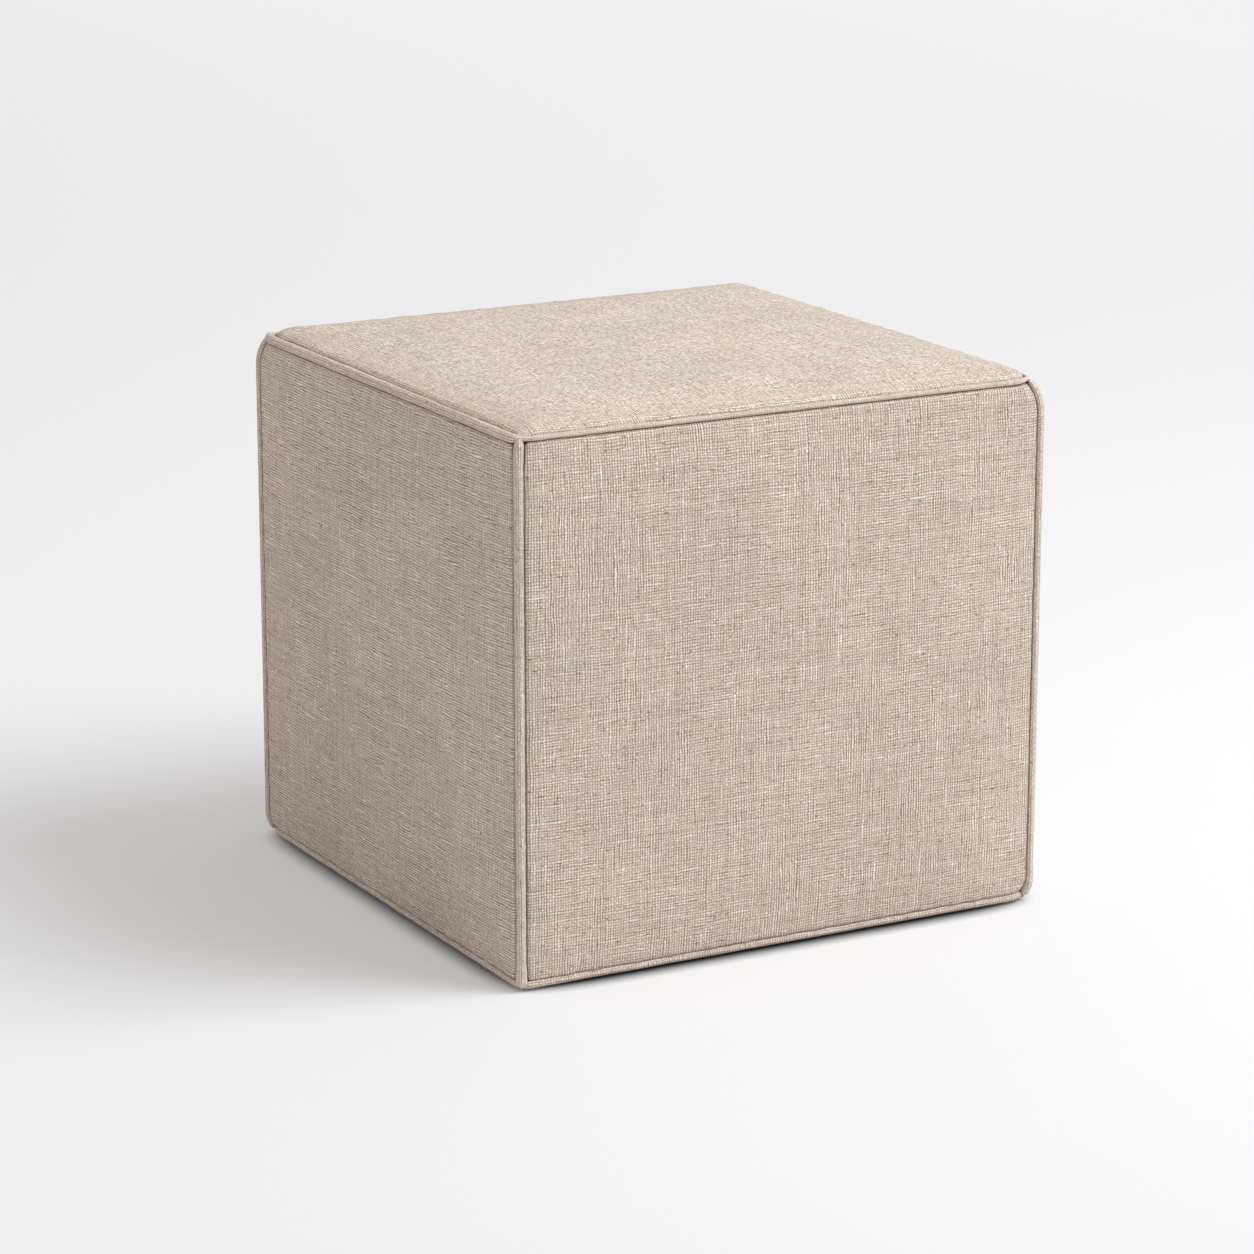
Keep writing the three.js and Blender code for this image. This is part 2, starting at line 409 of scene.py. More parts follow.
def cushion_arrays(shape, cells):
    """The six panels' points and cloth coordinates, and the faces that join them into one closed skin.

    A panel's point has whole-number coordinates on a cube of cells, and panels share the points whose
    coordinates are the same. The panels' middles stand in rows of three on the cloth's map.
    """
    _, half = seam_box(shape)
    places = [panel_places(cells, h) for h in half]
    points = np.stack([panel_points(shape, panel, places) for panel in PANELS])
    uv = np.zeros(points.shape[:3] + (2,))
    keys = np.zeros(points.shape[:3], np.int64)
    quads = []
    step = np.arange(cells + 1)
    for k, (_, axis, facing, along, across) in enumerate(PANELS):
        u = cloth_places(points[k], 0)
        v = cloth_places(points[k], 1)
        uv[k, ..., 0], uv[k, ..., 1] = np.meshgrid(u, v, indexing="ij")
        uv[k] += PANEL_SPACING * (0.5 + np.array([k % 3, k // 3]))
        cube = np.zeros(points.shape[1:3] + (3,), np.int64)
        cube[..., axis] = cells if facing > 0 else 0
        cube[..., along], cube[..., across] = np.meshgrid(step, step, indexing="ij")
        keys[k] = (cube[..., 0] * (cells + 1) + cube[..., 1]) * (cells + 1) + cube[..., 2]
        place = (k * (cells + 1) + step[:, None]) * (cells + 1) + step[None, :]
        quad = np.stack([place[:-1, :-1], place[1:, :-1], place[1:, 1:], place[:-1, 1:]], axis=-1)
        order = facing * (1 if (along, across) in ((0, 1), (1, 2)) else -1)
        quads.append(quad.reshape(-1, 4)[:, ::order])
    quads = np.concatenate(quads)
    _, first, merged = np.unique(keys.ravel(), return_index=True, return_inverse=True)
    return points, uv, quads, first, merged.ravel()


def inflate(thing, pinned, pressure, frames=20):
    """How far air pressure moves each point of a cover whose pinned points stay, by cloth simulation."""
    scene = bpy.context.scene
    seams = thing.vertex_groups.new(name="seams")
    seams.add([int(i) for i in np.flatnonzero(pinned)], 1.0, "REPLACE")
    cloth = thing.modifiers.new("filling", "CLOTH")
    settings = cloth.settings
    settings.quality = 6
    settings.mass = 0.3
    settings.tension_stiffness = 20
    settings.compression_stiffness = 20
    settings.shear_stiffness = 8
    settings.bending_stiffness = 0.6
    settings.use_pressure = True
    settings.uniform_pressure_force = pressure
    settings.vertex_group_mass = seams.name
    settings.effector_weights.gravity = 0
    cloth.collision_settings.use_collision = False
    cloth.point_cache.frame_start = 1
    cloth.point_cache.frame_end = frames
    before = np.empty(len(thing.data.vertices) * 3, np.float32)
    thing.data.vertices.foreach_get("co", before)
    for number in range(1, frames + 1):
        scene.frame_set(number)
    settled = thing.evaluated_get(bpy.context.evaluated_depsgraph_get()).data
    after = np.empty_like(before)
    settled.vertices.foreach_get("co", after)
    scene.frame_set(1)
    return (after - before).reshape(-1, 3).astype(float)


def refine(coarse):
    """Values on a grid, doubled in fineness both ways: new rows are the mean of their neighbours."""
    for axis in (1, 2):
        rows = np.moveaxis(coarse, axis, 0)
        fine = np.empty((2 * len(rows) - 1,) + rows.shape[1:])
        fine[::2] = rows
        fine[1::2] = (rows[:-1] + rows[1:]) / 2
        coarse = np.moveaxis(fine, 0, axis)
    return coarse


def filling_shift(shape):
    """The simulated filling of the cover, found on every second point and refined to all of them.

    The rim of each panel is held by its seams, and all of the base by the floor. A hyperbolic tangent
    brings each move under its cap.
    """
    cells = shape.cells // 2
    points, uv, quads, first, merged = cushion_arrays(shape, cells)
    skin = mesh_object("cover_blank", points.reshape(-1, 3)[first], merged[quads], uv.reshape(-1, 2),
                       quads, [])
    _, half = seam_box(shape)
    held = np.ones(points.shape[:3], bool)
    for k, (_, _, _, along, across) in enumerate(PANELS[:5]):
        from_seam = [h - np.abs(panel_places(cells, h)) for h in half[[along, across]]]
        u, v = np.meshgrid(*from_seam, indexing="ij")
        held[k] = np.minimum(u, v) < shape.held_rim
    pinned = np.zeros(len(first), bool)
    pinned[merged[held.ravel()]] = True
    shift = inflate(skin, pinned, shape.pressure)
    bpy.data.objects.remove(skin)
    shift = shift[merged].reshape(points.shape)
    length = np.linalg.norm(shift, axis=-1)[..., None]
    cap = np.full((len(PANELS), 1, 1, 1), shape.side_swell)
    cap[4] = shape.top_swell
    return refine(shift * cap * np.tanh(length / cap) / np.maximum(length, 1e-9))


# Gathers: their lengths along a seam, where they start and fade out beside it, and how much stronger
# they are above the base.
GATHER_LENGTHS = (0.012, 0.034)
GATHER_START = 0.002
GATHER_FADE = 0.010
BASE_GATHERS = 2.0

# Broad unevenness of the filling: its lengths, its depth, and the margin by the seams that it spares.
BROAD_LENGTHS = (0.09, 0.2)
BROAD_DEPTH = 0.0004
BROAD_MARGIN = 0.05


def pucker_shift(shape, points):
    """Small gathers: waves along each seam that die away over about a centimetre, out along the panel.

    To them comes a product of two slanting broad waves, which a roll brings to 0 at each seam.
    """
    _, half = seam_box(shape)
    places = [panel_places(shape.cells, h) for h in half]
    shift = np.zeros(points.shape)
    for k, (name, axis, facing, along, across) in enumerate(PANELS[:5]):
        u, v = np.meshgrid(places[along], places[across], indexing="ij")
        depth = np.zeros(u.shape)
        for side in (-1, 1):
            for number, (near, run, reach) in enumerate(((v, u, half[across]), (u, v, half[along]))):
                distance = reach - side * near
                fade = np.exp(-distance / GATHER_FADE) * (1 - np.exp(-distance / GATHER_START))
                strength = BASE_GATHERS if name != "top" and number == 0 and side < 0 else 1.0
                seed = 100 * k + 10 * number + side + 5
                depth += strength * fade * waves(run, 9, *GATHER_LENGTHS, seed)
        broad = waves(u + 0.3 * v, 4, *BROAD_LENGTHS, 7 + k) * waves(v - 0.2 * u, 4, *BROAD_LENGTHS, 17 + k)
        inner = roll((half[along] - np.abs(u)) / BROAD_MARGIN)
        inner = inner * roll((half[across] - np.abs(v)) / BROAD_MARGIN)
        shift[k, ..., axis] = facing * (shape.pucker_depth * depth + BROAD_DEPTH * broad * inner)
    return shift


def panel_cloths(cells):
    """The number of each face's cloth: 0 on the front and back, 1 on the sides, 2 on top and base."""
    return np.repeat(np.array([1, 1, 0, 0, 2, 2], np.int32), cells * cells)


# ------------ the pipings

# A cord's points round it, its points' spacing along it, how uneven its radius and its path are, and
# the lengths of the waves in them.
CORD_SIDES = 24
CORD_STEP = 0.002
CORD_UNEVENNESS = 0.015
UNEVEN_LENGTHS = (0.008, 0.03)
CORD_WANDER = 0.00015
WANDER_LENGTHS = (0.03, 0.09)

# The way across a corner's middle over which a level piping goes from one side's thinning to the next.
CORNER_BLEND = 0.016

# An upright piping's points along it and along each end, the power that shapes its ends, how far its head
# and foot reach past the level pipings' centre lines in radii, and the reach of its foot's flare.
UPRIGHT_STEPS = 160
END_STEPS = 14
END_POWER = 1.9
HEAD_RISE = 0.7
FOOT_DROP = 0.95
FLARE_REACH = 0.011


def cord_arrays(path, radius, pole, sides, closed):
    """A round section carried along a path: rings of points, their faces and their cloth coordinates.

    The pole is a direction that the path never takes. Cloth coordinates are the distance along the
    cord and the distance round it. A closed cord joins its last ring to its first.
    """
    if closed:
        ahead, behind = np.roll(path, -1, 0), np.roll(path, 1, 0)
    else:
        ahead, behind = np.vstack([path[1:], path[-1:]]), np.vstack([path[:1], path[:-1]])
    tangent = ahead - behind
    tangent /= np.linalg.norm(tangent, axis=1, keepdims=True)
    side = np.cross(pole, tangent)
    side /= np.linalg.norm(side, axis=1, keepdims=True)
    lift = np.cross(tangent, side)
    angle = np.linspace(0, 2 * np.pi, sides + 1)
    ring = np.cos(angle)[None, :, None] * side[:, None] + np.sin(angle)[None, :, None] * lift[:, None]
    points = path[:, None] + radius[:, None, None] * ring
    slope = np.hypot(np.linalg.norm(np.diff(path, axis=0), axis=1), np.diff(radius))
    length = np.concatenate([[0], np.cumsum(slope)])
    count = len(path)
    rows = np.arange(count + 1 if closed else count)
    if closed:
        length = np.append(length, length[-1] + np.linalg.norm(path[0] - path[-1]))
    uv = np.stack(np.meshgrid(length, angle * radius.max(), indexing="ij"), axis=-1)
    place = (rows % count)[:, None] * sides + (np.arange(sides + 1) % sides)[None, :]
    corner = rows[:, None] * (sides + 1) + np.arange(sides + 1)[None, :]
    order = [(slice(None, -1), slice(None, -1)), (slice(None, -1), slice(1, None)),
             (slice(1, None), slice(1, None)), (slice(1, None), slice(None, -1))]
    faces = np.stack([place[pick] for pick in order], axis=-1).reshape(-1, 4)
    corners = np.stack([corner[pick] for pick in order], axis=-1).reshape(-1, 4)
    return points[:, :-1].reshape(-1, 3), faces, uv.reshape(-1, 2), corners


def rounded_square(half, corners, step):
    """A rounded square's path, anticlockwise from above, from the front of its right side.

    Each quarter is a straight run and a quarter arc. Returns the points, for each its distance along
    the path, and its distance from the middle of its quarter's arc.
    """
    quarters = []
    start = 0
    for number, corner in enumerate(corners):
        before = half - corners[number - 1]
        run = before + half - corner
        bend = corner * math.pi / 2
        q = np.linspace(0, run + bend, int(round((run + bend) / step)), endpoint=False)
        turn = np.clip((q - run) / corner, 0, math.pi / 2)
        x = half - corner + corner * np.cos(turn)
        y = np.minimum(q, run) - before + corner * np.sin(turn)
        cos, sin = round(math.cos(number * math.pi / 2)), round(math.sin(number * math.pi / 2))
        quarters.append((x * cos - y * sin, x * sin + y * cos, q + start, np.abs(q - run - bend / 2)))
        start += run + bend
    x, y, s, away = np.concatenate(quarters, axis=1)
    return np.column_stack([x, y]), s, away


def ring_piping(shape, name, height, corners, slimming, tucked, sag, seed, material):
    """A level piping: a round cord along a rounded square, with waves for its unevenness.

    It is thinner by one share along the front and back and by others along the right and left, with a
    smooth step at each corner, and by a bell curve where it is tucked behind an upright piping. A share
    of the radius it lost draws it in, and beside the pouf the share sag of that loss lowers it.
    """
    flat, s, away = rounded_square(shape.piping_half, corners, CORD_STEP)
    whole = np.sin(np.pi * s / (s[-1] + s[1]))
    wander = CORD_WANDER * waves(s, 5, *WANDER_LENGTHS, seed) * whole
    uneven = 1 + CORD_UNEVENNESS * waves(s, 7, *UNEVEN_LENGTHS, seed + 1) * whole
    across = np.clip((np.abs(flat[:, 1]) - np.abs(flat[:, 0])) / CORNER_BLEND + 0.5, 0, 1)
    across = across * across * (3 - 2 * across)
    beside = np.where(flat[:, 0] > 0, slimming[1], slimming[2])
    beside = beside * (1 - across)
    slim = 1 - slimming[0] * across - beside
    drawn_in = shape.thinned_hug * shape.piping_radius * (1 - slim)
    flat = flat * (1 - drawn_in / shape.piping_half)[:, None]
    tuck = 1 - tucked * np.exp(-(away / shape.end_length) ** 2)
    radius = shape.piping_radius * uneven * slim * tuck
    path = np.column_stack([flat, height + wander - sag * shape.piping_radius * beside])
    arrays = cord_arrays(path, radius, np.array([0.0, 0.0, 1.0]), CORD_SIDES, closed=True)
    return mesh_object(name, *arrays, [material])


def upright_piping(shape, name, x, y, seed, material):
    """An upright piping: a cord whose head and foot lean in by parabolas under the level pipings, and
    as far again as those are drawn in at that corner.

    Its radius falls to 0 along each end by 1 less a power of the way, and grows at the foot by a bell
    curve.
    """
    r = shape.piping_radius
    side = 1 if x > 0 else 2
    both = (shape.top_slimming, shape.base_slimming)
    thinned = [(slimming[0] + slimming[side]) / 2 for slimming in both]
    top = shape.top_piping_height + (HEAD_RISE - thinned[0]) * r - shape.end_length
    base = shape.base_piping_height - FOOT_DROP * r + shape.end_length
    way = np.sin(np.linspace(0, math.pi / 2, END_STEPS)[1:]) * shape.end_length
    heights = np.concatenate([base - way[::-1], np.linspace(base, top, UPRIGHT_STEPS), top + way])
    past = np.maximum(np.maximum(heights - top, base - heights), 0) / shape.end_length
    uneven = 1 + CORD_UNEVENNESS * waves(heights, 7, *UNEVEN_LENGTHS, seed)
    flare = 1 + shape.foot_flare * np.exp(-(np.maximum(heights - base, 0) / FLARE_REACH) ** 2)
    radius = r * uneven * flare * (1 - past ** END_POWER)
    below, above = shape.top_piping_height - heights, heights - shape.base_piping_height
    near_head = np.clip(1 - np.maximum(below, 0) / shape.head_reach, 0, 1) ** 2
    near_foot = np.clip(1 - np.maximum(above, 0) / shape.foot_reach, 0, 1) ** 2
    inset = CORNER_INSET * corner_values([shape.top_corners, shape.base_corners], x, y)
    inset = inset + shape.thinned_hug * r * np.array(thinned)
    sink = corner_values(shape.upright_sink, x, y)
    out = shape.piping_half - sink
    out -= near_head * (inset[0] - sink - shape.head_proud)
    out -= near_foot * (inset[1] - sink - shape.foot_proud)
    path = np.column_stack([x * out, y * out, heights])
    arrays = cord_arrays(path, radius, np.array([1.0, 0.0, 0.0]), CORD_SIDES, closed=False)
    cord = mesh_object(name, *arrays, [material])
    merge_doubles(cord)
    return cord


# ------------ materials

class Graph:
    """A short way to write a node tree."""

    def __init__(self, name):
        self.material = bpy.data.materials.new(name)
        self.material.use_nodes = True
        self.tree = self.material.node_tree
        self.tree.nodes.clear()

    def put(self, socket, value):
        if isinstance(value, bpy.types.NodeSocket):
            self.tree.links.new(value, socket)
        else:
            socket.default_value = value

    def node(self, kind, settings=None, **inputs):
        node = self.tree.nodes.new("ShaderNode" + kind)
        for key, value in (settings or {}).items():
            setattr(node, key, value)
        for key, value in inputs.items():
            self.put(node.inputs[key.replace("_", " ")], value)
        return node

    def feed(self, node, *values):
        for socket, value in zip(node.inputs, values):
            self.put(socket, value)
        return node.outputs[0]

    def math(self, operation, *values):
        return self.feed(self.node("Math", {"operation": operation}), *values)

    def vector(self, x, y, z=0.0):
        return self.feed(self.node("CombineXYZ"), x, y, z)

    def noise(self, vector, scale=1.0, detail=1.0):
        return self.node("TexNoise", Vector=vector, Scale=scale, Detail=detail).outputs["Fac"]

    def span(self, value, low, high, to_low=0.0, to_high=1.0, smooth=False):
        node = self.node("MapRange", {"interpolation_type": "SMOOTHSTEP" if smooth else "LINEAR"})
        return self.feed(node, value, low, high, to_low, to_high)

    def mix(self, factor, a, b):
        node = self.node("Mix", {"data_type": "RGBA"})
        self.put(node.inputs[0], factor)
        self.put(node.inputs[6], a)
        self.put(node.inputs[7], b)
        return node.outputs[2]


# How fast the cloth's noises change for each metre, across the threads and along them: how threads drift,
# wobble and tremble, and where patches, fuzz and specks of gap lie.
DRIFT = (60.0, 22.0)
WOBBLE = (330.0, 50.0)
TREMBLE = (300.0, 300.0)
PATCHES = (26.0, 15.0)
FUZZ = (430.0, 330.0)
SPECKS = (210.0, 460.0)

# How fast the depth of threads changes from one to the next, and for each metre along those that run
# along V and those along U. Then the same pair for slubs and for streaks.
THREAD_CHANGE = 1.37
WARP_CHANGE = 30.0
WEFT_CHANGE = 80.0
SLUB_CHANGE = (2.71, 42.0)
STREAK_CHANGE = (0.45, 11.0)

# Over which part of its noise a slub swells and a speck shows, and how strongly a speck does.
SLUB_PEAK = (0.65, 0.76)
SPECK_PEAK = (0.72, 0.80)
SPECK_STRENGTH = 0.6

# What adds to the cloth's height, which is about 0 to 1: its threads, their slubs, their crossings, and
# chance at each crossing.
THREAD_HEIGHT = 0.2125
SLUB_HEIGHT = 1.1
CROSSING_HEIGHT = 0.09
CHANCE_HEIGHT = 0.12

# How much patches bring out one set of threads over the other, and a thread's least and most depth.
PATCH_LEAD = 0.35
THREAD_DEPTHS = (0.2, 1.6)

# The nap: how far from the pouf's middle it thins out, its strength inside and outside that, and how
# much it pales the cloth. The paling is partly painted light: it makes the top paler in place of part of
# its sheen, and the nap's thinning leaves the top's rim darker, as painted shade on its rolled edges.
NAP_EDGE = (0.17, 0.225)
NAP_INSIDE = 1.35
NAP_OUTSIDE = 0.5
NAP_PALENESS = 0.045

# How much lighter and darker broad mottling and long streaks make the cloth, and the depth of its relief.
MOTTLING = 0.04
STREAKING = 0.07
RELIEF_DEPTH = 0.0004


def linen(cloth, name, lead, slubs, nap, relief=1.0, crease_shade=0.1, pale=1.0):
    """Plain-weave linen on the cloth's own UV map, whose unit is a metre.

    Threads stand side by side both ways, each a cosine wave across. How deep a wave is changes from
    thread to thread and slowly along each thread. Where a second noise peaks, the thread has a slub.
    The product of two sines, each two threads long, lifts every second crossing. Their sum is the
    height of the cloth: gaps are dark and tops are light.
    Long streaks, from thread to thread, make the cloth a little lighter and darker.
    lead makes the threads along V stand out (above 0) or those along U. slubs scales the slubs, and
    relief the waves. nap is how much a fuzz of short fibres blurs the threads and pales them, less so
    near the edges; that paling is partly painted light: it makes the top paler in place of part of the
    sheen that grazing light gives it, and where it thins the top's rim is left darker, as painted shade
    on the rolled edges. Of its colour, crease_shade is what is left where other surfaces shut a point in
    from close by: painted shade in creases and grooves, found by ambient occlusion. pale makes all of
    it lighter.
    """
    g = Graph(name)
    uv = g.node("UVMap", {"uv_map": "cloth"}).outputs[0]
    u, v = g.node("SeparateXYZ", Vector=uv).outputs[:2]

    def field(x, y, x_rate, y_rate, seed, detail=1.0):
        place = g.vector(g.math("MULTIPLY", x, x_rate), g.math("MULTIPLY", y, y_rate), seed)
        return g.noise(place, 1.0, detail)

    def counted(across, along, seed):
        place = g.math("MULTIPLY", across, 1 / cloth.pitch)
        place = g.math("MULTIPLY_ADD", field(across, along, *DRIFT, seed), 1.0, place)
        place = g.math("MULTIPLY_ADD", field(across, along, *WOBBLE, seed + 1.0), 1.0, place)
        return g.math("MULTIPLY_ADD", field(across, along, *TREMBLE, seed + 2.0), 0.5, place)

    def ridges(threads, along, seed, rate, weight):
        number = g.math("FLOOR", threads)
        wave = g.math("MULTIPLY", g.math("COSINE", g.math("MULTIPLY", threads, 2 * math.pi)), -1.0)
        depth = g.span(field(number, along, THREAD_CHANGE, rate, seed, 2.0), 0.3, 0.7, *THREAD_DEPTHS)
        depth = g.math("MULTIPLY", depth, weight)
        slub = field(number, along, *SLUB_CHANGE, seed + 5.0)
        slub = g.span(slub, *SLUB_PEAK, 0.0, SLUB_HEIGHT * slubs)
        slub = g.math("MULTIPLY", slub, g.math("MULTIPLY_ADD", wave, 0.5, 0.5))
        return g.math("MULTIPLY_ADD", wave, depth, slub)

    threads_u, threads_v = counted(u, v, 1.3), counted(v, u, 7.9)
    patch = field(u, v, *PATCHES, 4.4, 2.0)
    patch = g.span(patch, 0.34, 0.66, lead - PATCH_LEAD, lead + PATCH_LEAD)
    warp = ridges(threads_u, v, 3.1, WARP_CHANGE, g.math("ADD", 1.0, patch))
    weft = ridges(threads_v, u, 9.7, WEFT_CHANGE, g.math("SUBTRACT", 1.0, patch))
    over = g.math("MULTIPLY", g.math("SINE", g.math("MULTIPLY", threads_u, math.pi)),
                  g.math("SINE", g.math("MULTIPLY", threads_v, math.pi)))
    grain = g.node("TexWhiteNoise", {"noise_dimensions": "2D"},
                   Vector=g.vector(g.math("FLOOR", threads_u), g.math("FLOOR", threads_v))).outputs[0]
    height = g.math("MULTIPLY_ADD", g.math("ADD", warp, weft), THREAD_HEIGHT * relief, 0.5)
    height = g.math("MULTIPLY_ADD", over, CROSSING_HEIGHT, height)
    height = g.math("MULTIPLY_ADD", g.math("SUBTRACT", grain, 0.5), CHANCE_HEIGHT, height)
    fuzz = g.math("SUBTRACT", field(u, v, *FUZZ, 2.2, 2.0), 0.5 - NAP_PALENESS * nap)
    place = g.node("SeparateXYZ", Vector=g.node("TexCoord").outputs["Object"]).outputs
    out = g.math("MAXIMUM", g.math("ABSOLUTE", place[0]), g.math("ABSOLUTE", place[1]))
    # Nap strength, less near the edges: real fuzz, and also painted shade that leaves the top's rim darker.
    nap_and_rim_shade = g.span(out, *NAP_EDGE, NAP_INSIDE * nap, NAP_OUTSIDE * nap, smooth=True)
    height = g.math("MULTIPLY_ADD", fuzz, nap_and_rim_shade, height)

    light, middle, dark = [(*c, 1) for c in (cloth.yarn_light, cloth.yarn_middle, cloth.yarn_dark)]
    color = g.mix(g.span(height, 0.0, 0.5), dark, middle)
    color = g.mix(g.span(height, 0.5, 1.0), color, light)
    speck = g.span(field(u, v, *SPECKS, 5.0, 0.0), *SPECK_PEAK, 0.0, SPECK_STRENGTH)
    color = g.mix(speck, color, dark)
    mottle = g.noise(uv, 9.0, 3.0)
    mottle = g.span(mottle, 0.3, 0.7, (1 - MOTTLING) * pale, (1 + MOTTLING) * pale)
    for threads, along, seed in ((threads_u, v, 21.0), (threads_v, u, 27.0)):
        streak = field(threads, along, *STREAK_CHANGE, seed)
        mottle = g.math("MULTIPLY", mottle, g.span(streak, 0.25, 0.75, 1 - STREAKING, 1 + STREAKING))
    # Painted shade: ambient occlusion darkens the colour in creases and in the grooves beside the pipings,
    # down to the share given by the crease setting.
    if crease_shade < 1:
        free = g.node("AmbientOcclusion", {"samples": 6}, Distance=cloth.crease_shade_reach).outputs["AO"]
        mottle = g.math("MULTIPLY", mottle, g.span(free, 0.35, 1.0, crease_shade, 1.0, smooth=True))
    color = g.node("HueSaturation", Color=color, Value=mottle).outputs[0]

    bump = g.node("Bump", Strength=0.5, Distance=RELIEF_DEPTH * (1 - 0.5 * nap), Height=height)
    shader = g.node("BsdfPrincipled", Base_Color=color, Roughness=0.92, Normal=bump.outputs[0],
                    Specular_IOR_Level=0.12, Sheen_Weight=0.08, Sheen_Roughness=0.3,
                    Sheen_Tint=(1.0, 0.93, 0.85, 1))
    g.node("OutputMaterial", Surface=shader.outputs[0])
    return g.material


# The floor: the most that its glow's gain changes across it, a painted gradient of light; the power
# that squares the painted contact shadow's outline; how much light the painted shadow leaves in its
# darkest part beside the pouf and in front of or behind it; and half the width over which one turns
# into the other.
SLOPE_LIMIT = 0.1
NORM_POWER = 10.0
CONTACT_BESIDE = 0.25
CONTACT_IN_FRONT = 0.05
CONTACT_TURN = 0.01


def plain_floor(stage):
    """A matt pale floor with a painted contact shadow, dark where the pouf all but touches it. Seen
    directly or in a reflection it is paler still, by a glow.

    That gain is a plane over the floor's two axes, whose slope is a painted gradient of light. The
    painted shadow is a smooth step of the distance from the middle by the tenth-power norm, whose circle
    is a square with round corners; it darkens both the floor's colour and its glow. It is deepest in
    front and behind, where light would reach under the piping.
    """
    g = Graph("pale floor")
    place = g.node("TexCoord").outputs["Object"]
    # Painted gradient of light: the glow's gain slopes across the floor.
    slope = g.node("VectorMath", {"operation": "DOT_PRODUCT"})
    g.feed(slope, place, stage.painted_light_slope)
    low, high = stage.floor_gain - SLOPE_LIMIT, stage.floor_gain + SLOPE_LIMIT
    gain = g.span(slope.outputs["Value"], -SLOPE_LIMIT, SLOPE_LIMIT, low, high)
    # Painted contact shadow: a dark on the floor's colour and glow round the pouf's footprint, deepest in
    # front and behind.
    x, y = [g.math("ABSOLUTE", part) for part in g.node("SeparateXYZ", Vector=place).outputs[:2]]
    powers = g.math("ADD", g.math("POWER", x, NORM_POWER), g.math("POWER", y, NORM_POWER))
    norm = g.math("POWER", powers, 1 / NORM_POWER)
    ahead = g.math("SUBTRACT", y, x)
    darkest_painted_shadow = g.span(ahead, -CONTACT_TURN, CONTACT_TURN, CONTACT_BESIDE, CONTACT_IN_FRONT)
    contact_end = stage.contact_start + stage.contact_reach
    clear = g.span(norm, stage.contact_start, contact_end, darkest_painted_shadow, 1.0, smooth=True)
    path = g.node("LightPath").outputs
    seen = g.math("MAXIMUM", path["Is Camera Ray"], path["Is Glossy Ray"])
    seen = g.math("MAXIMUM", seen, path["Is Transmission Ray"])
    strength = g.math("MULTIPLY", g.math("MULTIPLY", gain, clear), seen)
    # The floor's colour, darkened toward black inside the painted contact shadow, which also cuts the glow.
    matt = g.node("BsdfDiffuse", Color=g.mix(clear, (0, 0, 0, 1), (*stage.floor_color, 1)))
    glow = g.node("Emission", Color=(0.98, 0.99, 1, 1), Strength=strength)
    both = g.feed(g.node("AddShader"), matt.outputs[0], glow.outputs[0])
    g.node("OutputMaterial", Surface=both)
    return g.material


def outward(azimuth, elevation):
    """The direction from the pouf at an angle round it, 0 being its front, and above the horizon."""
    level = math.cos(elevation)
    return Vector((math.sin(azimuth) * level, -math.cos(azimuth) * level, math.sin(elevation)))


def set_up(data, back, place):
    """Puts a lamp or a camera at a place, with the direction back behind it."""
    thing = bpy.data.objects.new(data.name, data)
    thing.rotation_mode = "QUATERNION"
    thing.rotation_quaternion = back.to_track_quat("Z", "Y")
    thing.location = place
    bpy.context.scene.collection.objects.link(thing)
    return thing


def finish_piece(thing, node):
    """Makes a finished piece move with the pouf's root, and hides the frame part that it stands for."""
    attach(thing, "root")
    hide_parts(node)


# ------------ operators

class POUF_OT_cushion(bpy.types.Operator):
    """Make the filled cushion: six crowned panels in one closed skin"""

    bl_idname = "pouf.cushion"
    bl_label = "Cushion"

    def execute(self, context):
        shape, cloth = context.scene.pouf_shape, context.scene.pouf_cloth
        cloths = (linen(cloth, "oatmeal linen front", lead=0.16, slubs=1.0, nap=0.1),
                  linen(cloth, "oatmeal linen side", lead=-0.25, slubs=1.3, nap=0.2),
                  linen(cloth, "oatmeal linen top", lead=0.0, slubs=0.6, nap=1.0, crease_shade=0.5))
        points, uv, quads, first, merged = cushion_arrays(shape, shape.cells)
        points = points + filling_shift(shape)
        points = points + pucker_shift(shape, points)
        points[..., 2] = np.maximum(points[..., 2], 0)
        cushion = mesh_object("cushion_cover", points.reshape(-1, 3)[first], merged[quads],
                              uv.reshape(-1, 2), quads, cloths, panel_cloths(shape.cells))
        finish_piece(cushion, "cushion")
        return {"FINISHED"}


class POUF_OT_level_pipings(bpy.types.Operator):
    """Make the level pipings round the top and the base"""

    bl_idname = "pouf.level_pipings"
    bl_label = "Level pipings"

    def execute(self, context):
        shape, cloth = context.scene.pouf_shape, context.scene.pouf_cloth
        material = linen(cloth, "oatmeal linen piping", lead=-0.5, slubs=0.4, nap=0.3, relief=0.6,
                         crease_shade=0.6, pale=1.06)
        top = ring_piping(shape, "top_piping", shape.top_piping_height, shape.top_corners,
                          shape.top_slimming, tucked=shape.corner_tuck, sag=0.5, seed=31,
                          material=material)
        finish_piece(top, "piping_top")
        material = linen(cloth, "oatmeal linen base piping", lead=-0.1, slubs=0.4, nap=0.3,
                         relief=0.85, crease_shade=1.0, pale=1.04)
        base = ring_piping(shape, "base_piping", shape.base_piping_height, shape.base_corners,
                           shape.base_slimming, tucked=0.0, sag=0.0, seed=47, material=material)
        finish_piece(base, "piping_base")
        return {"FINISHED"}


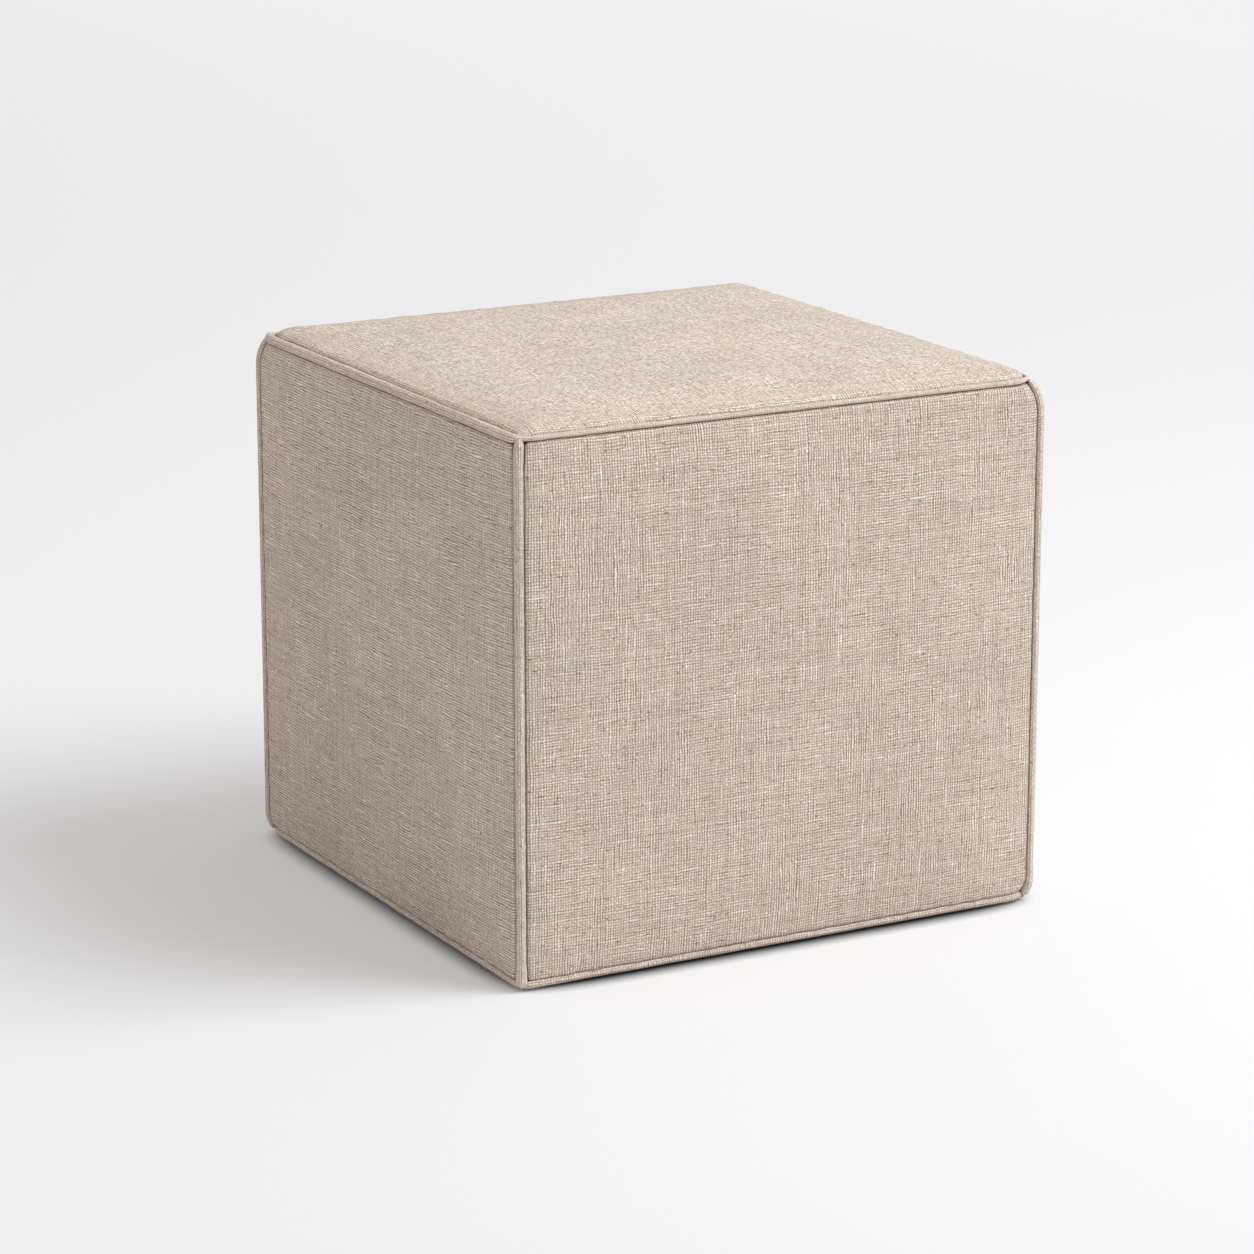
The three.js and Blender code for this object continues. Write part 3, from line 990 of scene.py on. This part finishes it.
class POUF_OT_upright_pipings(bpy.types.Operator):
    """Make the upright pipings in the four side edges"""

    bl_idname = "pouf.upright_pipings"
    bl_label = "Upright pipings"

    def execute(self, context):
        shape, cloth = context.scene.pouf_shape, context.scene.pouf_cloth
        material = linen(cloth, "oatmeal linen upright piping", lead=-0.45, slubs=0.4, nap=0.3,
                         relief=0.6, crease_shade=0.5, pale=1.07)
        for seed, node in enumerate(PIPING_NODES):
            x = 1 if "right" in node else -1
            y = 1 if "back" in node else -1
            cord = upright_piping(shape, node + "_cloth", x, y, 60 + seed, material)
            finish_piece(cord, node)
        return {"FINISHED"}


# Half the floor's side, the point that the lamps aim at, and how far the camera stands aside of the line
# through that point and above it.
FLOOR_HALF = 30.0
LAMP_AIM = (0, 0, 0.2)
CAMERA_RIGHT = -0.0107
CAMERA_UP = -0.0052


class POUF_OT_stage(bpy.types.Operator):
    """Make the floor, the lamps, the world and the camera"""

    bl_idname = "pouf.stage"
    bl_label = "Stage"

    def execute(self, context):
        scene, stage = context.scene, context.scene.pouf_stage
        mesh = bpy.data.meshes.new("floor")
        corners = [(x * FLOOR_HALF, y * FLOOR_HALF, 0) for x, y in ((-1, -1), (1, -1), (1, 1), (-1, 1))]
        mesh.from_pydata(corners, [], [(0, 1, 2, 3)])
        mesh.materials.append(plain_floor(stage))
        floor = bpy.data.objects.new("floor", mesh)
        scene.collection.objects.link(floor)

        world = bpy.data.worlds.new("even light")
        world.use_nodes = True
        background = world.node_tree.nodes["Background"].inputs
        background["Color"].default_value = (*stage.world_color, 1)
        background["Strength"].default_value = stage.world_strength
        scene.world = world

        key = bpy.data.lights.new("key", "SUN")
        key.energy = stage.key_strength
        key.angle = stage.key_spread
        near = bpy.data.lights.new("near", "AREA")
        near.shape = "DISK"
        near.size = 2 * stage.near_distance * math.tan(stage.key_spread / 2)
        near.energy = stage.near_strength
        middle = Vector(LAMP_AIM)
        toward = outward(stage.key_azimuth, stage.key_elevation)
        for light in (key, near):
            light.color = stage.key_color
            set_up(light, toward, middle + toward * stage.near_distance)

        camera = bpy.data.cameras.new("camera")
        camera.lens = stage.lens
        camera.sensor_width = 36
        back = outward(stage.azimuth, stage.elevation)
        right = (-back).cross(Vector((0, 0, 1))).normalized()
        up = right.cross(-back)
        place = middle + back * stage.distance + right * CAMERA_RIGHT + up * CAMERA_UP
        scene.camera = set_up(camera, back, place)
        scene.view_settings.view_transform = "Standard"
        return {"FINISHED"}


class POUF_PT_panel(bpy.types.Panel):
    """Lists the pouf's pieces in the sidebar"""

    bl_idname = "POUF_PT_panel"
    bl_label = "Cube pouf"
    bl_space_type = "VIEW_3D"
    bl_region_type = "UI"
    bl_category = "Pouf"

    def draw(self, context):
        for operator in OPERATORS:
            self.layout.operator(operator.bl_idname)
        for name in GROUPS:
            group = getattr(context.scene, name)
            for key in group.bl_rna.properties.keys():
                if key not in ("rna_type", "name"):
                    self.layout.prop(group, key)


GROUPS = {"pouf_shape": PoufShape, "pouf_cloth": PoufCloth, "pouf_stage": PoufStage}
OPERATORS = (POUF_OT_cushion, POUF_OT_level_pipings, POUF_OT_upright_pipings, POUF_OT_stage)


def register():
    for name, group in GROUPS.items():
        bpy.utils.register_class(group)
        setattr(bpy.types.Scene, name, bpy.props.PointerProperty(type=group))
    for operator in OPERATORS:
        bpy.utils.register_class(operator)
    bpy.utils.register_class(POUF_PT_panel)


def unregister():
    bpy.utils.unregister_class(POUF_PT_panel)
    for operator in reversed(OPERATORS):
        bpy.utils.unregister_class(operator)
    for name, group in reversed(GROUPS.items()):
        delattr(bpy.types.Scene, name)
        bpy.utils.unregister_class(group)


def main():
    register()
    bpy.ops.pouf.cushion()
    bpy.ops.pouf.level_pipings()
    bpy.ops.pouf.upright_pipings()
    bpy.ops.pouf.stage()


if __name__ == "__main__":
    main()
